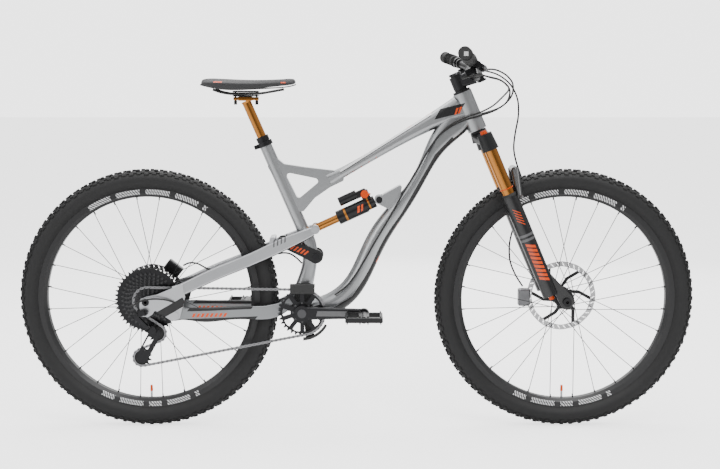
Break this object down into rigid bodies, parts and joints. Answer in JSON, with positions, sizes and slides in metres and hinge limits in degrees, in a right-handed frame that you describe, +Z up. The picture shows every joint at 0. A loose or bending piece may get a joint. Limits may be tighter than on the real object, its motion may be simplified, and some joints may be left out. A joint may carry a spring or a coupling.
{
  "type": "mountain bike",
  "caption": "Full-suspension trail mountain bike with a sprung fork, linkage rear suspension, disc brakes, derailleur drive and dropper seatpost.",
  "frame": {"origin": "on the ground, midway between the two wheel contact points", "axes": "+X forward along the bike, +Y to the rider's left, +Z up"},
  "size_m": [1.9279, 0.7908, 1.0782],
  "materials": {
    "black_metal": "satin black anodised",
    "black_paint": "satin black",
    "gold": "bronze gold anodised",
    "leatherette": "matte synthetic cover",
    "orange": "anodised",
    "plastic": "matte",
    "rubber": "matte",
    "satin_silver": "satin metallic paint",
    "steel": "brushed",
    "tyre": "matte rubber"
  },
  "bodies": {
    "frame": {"front_frame": "satin_silver", "headset_and_bearing_cups": "black_metal", "frame_pivot_bolts": "steel", "seat_collar": "black_metal", "dropper_outer_tube": "black_metal", "chain_guide": "plastic", "cockpit_hoses": "rubber", "chain": "steel"},
    "seatpost": {"dropper_post": "gold", "saddle_clamp": "black_metal", "saddle_base": "plastic", "saddle_cover": "leatherette"},
    "chainstay": {"chainstay": "satin_silver"},
    "seatstay": {"seatstay": "satin_silver", "rear_axle": "black_metal", "rear_caliper": "black_metal", "derailleur_mount": "black_metal", "rear_hoses": "rubber"},
    "rocker": {"rocker_links": "black_paint"},
    "shock_body": {"shock_body": "black_metal"},
    "shock_shaft": {"shock_shaft": "gold"},
    "shock_lever": {"shock_lever": "orange"},
    "rear_wheel": {"rear_tyre": "tyre", "rear_rim": "black_metal", "rear_spokes": "steel", "rear_hub": "black_metal", "rear_rotor": "steel"},
    "cassette": {"cassette": "black_metal"},
    "crank": {"crank_arms": "black_metal", "chainring": "black_metal"},
    "pedal_right": {"pedal_right": "black_metal"},
    "pedal_left": {"pedal_left": "black_metal"},
    "derailleur_outer_link": {"derailleur_outer_link": "black_metal"},
    "derailleur_inner_link": {"derailleur_inner_link": "black_metal"},
    "derailleur_knuckle": {"derailleur_knuckle": "black_metal"},
    "derailleur_cage": {"derailleur_cage": "black_metal"},
    "guide_pulley": {"guide_pulley": "plastic"},
    "tension_pulley": {"tension_pulley": "plastic"},
    "steering": {"fork_crown": "black_paint", "fork_stanchions": "gold", "stem": "black_metal", "handlebar": "black_paint", "grips": "rubber", "control_mounts": "black_metal", "front_brake_hose": "rubber"},
    "compression_knob": {"compression_knob": "orange"},
    "fork_lowers": {"fork_lowers": "black_paint", "front_axle": "black_metal", "front_caliper": "black_metal"},
    "rebound_knob": {"rebound_knob": "orange"},
    "front_wheel": {"front_tyre": "tyre", "front_rim": "black_metal", "front_spokes": "steel", "front_hub": "black_metal", "front_rotor": "steel"},
    "brake_lever_left": {"brake_lever_left": "black_metal"},
    "brake_lever_right": {"brake_lever_right": "black_metal"},
    "shift_lever": {"shift_lever": "black_metal"},
    "release_lever": {"release_lever": "black_metal"},
    "dropper_lever": {"dropper_lever": "black_metal"}
  },
  "joints": [
    {"name": "suspension", "type": "hinge", "parent": "frame", "child": "chainstay", "pos_m": [-0.154, 0, 0.391], "axis": [0, 1, 0], "range_deg": [0, 18.02], "stiffness_Nm_per_rad": 3000, "deforming": ["chain"]},
    {"name": "horst_pivot", "type": "hinge", "parent": "chainstay", "child": "seatstay", "pos_m": [-0.512, 0, 0.334], "axis": [0, 1, 0], "range_deg": [-5.91, 0.05], "deforming": ["rear_hoses"]},
    {"name": "rocker_pivot", "type": "hinge", "parent": "frame", "child": "rocker", "pos_m": [-0.115, 0, 0.494], "axis": [0, 1, 0], "range_deg": [-0.05, 31.59]},
    {"name": "shock_pivot", "type": "hinge", "parent": "frame", "child": "shock_body", "pos_m": [0.0645, 0, 0.655], "axis": [0, 1, 0], "range_deg": [-0.05, 2.41]},
    {"name": "shock_stroke", "type": "slide", "parent": "shock_body", "child": "shock_shaft", "axis": [0.909, 0, 0.4168], "range_m": [0, 0.0471]},
    {"name": "shock_lever_turn", "type": "hinge", "parent": "shock_body", "child": "shock_lever", "pos_m": [0.02287, -0.015, 0.67112], "axis": [0, 1, 0], "range_deg": [0, 60]},
    {"name": "rear_wheel_spin", "type": "hinge", "parent": "seatstay", "child": "rear_wheel", "pos_m": [-0.593, 0, 0.371], "axis": [0, 1, 0], "continuous": true},
    {"name": "crank_spin", "type": "hinge", "parent": "frame", "child": "crank", "pos_m": [-0.154, 0, 0.338], "axis": [0, 1, 0], "continuous": true},
    {"name": "cassette_spin", "type": "hinge", "parent": "seatstay", "child": "cassette", "pos_m": [-0.593, 0, 0.371], "axis": [0, 1, 0], "continuous": true},
    {"name": "pedal_right_spin", "type": "hinge", "parent": "crank", "child": "pedal_right", "pos_m": [0.021, -0.138, 0.338], "axis": [0, 1, 0], "continuous": true},
    {"name": "pedal_left_spin", "type": "hinge", "parent": "crank", "child": "pedal_left", "pos_m": [-0.329, 0.138, 0.338], "axis": [0, 1, 0], "continuous": true},
    {"name": "derailleur_link_turn", "type": "hinge", "parent": "seatstay", "child": "derailleur_outer_link", "pos_m": [-0.622, -0.098, 0.336], "axis": [0.7634, 0, 0.6459], "range_deg": [-12, 6]},
    {"name": "derailleur_inner_link_turn", "type": "hinge", "parent": "seatstay", "child": "derailleur_inner_link", "pos_m": [-0.622, -0.085, 0.336], "axis": [0.7634, 0, 0.6459], "range_deg": [-12.05, 6.05]},
    {"name": "derailleur_knuckle_turn", "type": "hinge", "parent": "derailleur_outer_link", "child": "derailleur_knuckle", "pos_m": [-0.589, -0.082, 0.297], "axis": [0.7634, 0, 0.6459], "range_deg": [-6.05, 12.05]},
    {"name": "cage_swing", "type": "hinge", "parent": "derailleur_knuckle", "child": "derailleur_cage", "pos_m": [-0.578, -0.07, 0.29], "axis": [0, 1, 0], "range_deg": [-12, 25]},
    {"name": "guide_pulley_spin", "type": "hinge", "parent": "derailleur_cage", "child": "guide_pulley", "pos_m": [-0.566, -0.0525, 0.278], "axis": [0, 1, 0], "continuous": true},
    {"name": "tension_pulley_spin", "type": "hinge", "parent": "derailleur_cage", "child": "tension_pulley", "pos_m": [-0.61, -0.0525, 0.208], "axis": [0, 1, 0], "continuous": true},
    {"name": "steering", "type": "hinge", "parent": "frame", "child": "steering", "pos_m": [0.34299, 0, 0.85097], "axis": [-0.3907, 0, 0.9205], "range_deg": [-60, 60], "deforming": ["cockpit_hoses"]},
    {"name": "fork_travel", "type": "slide", "parent": "steering", "child": "fork_lowers", "axis": [-0.3907, 0, 0.9205], "range_m": [0, 0.13], "stiffness_N_per_m": 8000, "deforming": ["front_brake_hose"]},
    {"name": "front_wheel_spin", "type": "hinge", "parent": "fork_lowers", "child": "front_wheel", "pos_m": [0.593, 0, 0.371], "axis": [0, 1, 0], "continuous": true},
    {"name": "compression_knob_turn", "type": "hinge", "parent": "steering", "child": "compression_knob", "pos_m": [0.35582, -0.066, 0.84121], "axis": [-0.3907, 0, 0.9205], "range_deg": [0, 90]},
    {"name": "rebound_knob_turn", "type": "hinge", "parent": "fork_lowers", "child": "rebound_knob", "pos_m": [0.54767, -0.066, 0.38924], "axis": [-0.3907, 0, 0.9205], "range_deg": [0, 270]},
    {"name": "dropper_travel", "type": "slide", "parent": "frame", "child": "seatpost", "axis": [-0.3987, 0, 0.9171], "range_m": [-0.1, 0]},
    {"name": "brake_lever_left_pull", "type": "hinge", "parent": "steering", "child": "brake_lever_left", "pos_m": [0.33597, 0.2362, 1.02288], "axis": [0.5299, 0.0022, 0.848], "range_deg": [0, 12], "stiffness_Nm_per_rad": 0.5},
    {"name": "brake_lever_right_pull", "type": "hinge", "parent": "steering", "child": "brake_lever_right", "pos_m": [0.33597, -0.2362, 1.02288], "axis": [-0.5299, 0.0022, -0.848], "range_deg": [0, 12], "stiffness_Nm_per_rad": 0.5},
    {"name": "shift_lever_push", "type": "hinge", "parent": "steering", "child": "shift_lever", "pos_m": [0.32043, -0.21065, 1.0085], "axis": [-0.3216, 0.1706, 0.9314], "range_deg": [0, 35], "stiffness_Nm_per_rad": 0.2},
    {"name": "release_lever_push", "type": "hinge", "parent": "steering", "child": "release_lever", "pos_m": [0.32043, -0.21065, 1.0085], "axis": [-0.3216, 0.1706, 0.9314], "range_deg": [0, 12], "stiffness_Nm_per_rad": 0.2},
    {"name": "dropper_lever_push", "type": "hinge", "parent": "steering", "child": "dropper_lever", "pos_m": [0.3185, 0.20962, 1.01409], "axis": [0.3216, 0.1706, -0.9314], "range_deg": [0, 25], "stiffness_Nm_per_rad": 0.2}
  ],
  "couplings": [
    {"joint": "horst_pivot", "follows": "suspension", "ratio": -0.32519},
    {"joint": "rocker_pivot", "follows": "suspension", "ratio": 1.7499},
    {"joint": "shock_pivot", "follows": "suspension", "ratio": 0.13114},
    {"joint": "shock_stroke", "follows": "suspension", "m_per_rad": 0.14816},
    {"joint": "cassette_spin", "follows": "crank_spin", "ratio": 1.6842},
    {"joint": "guide_pulley_spin", "follows": "crank_spin", "ratio": -2.6667},
    {"joint": "tension_pulley_spin", "follows": "crank_spin", "ratio": 2.6667},
    {"joint": "derailleur_inner_link_turn", "follows": "derailleur_link_turn", "ratio": 1},
    {"joint": "derailleur_knuckle_turn", "follows": "derailleur_link_turn", "ratio": -1}
  ]
}
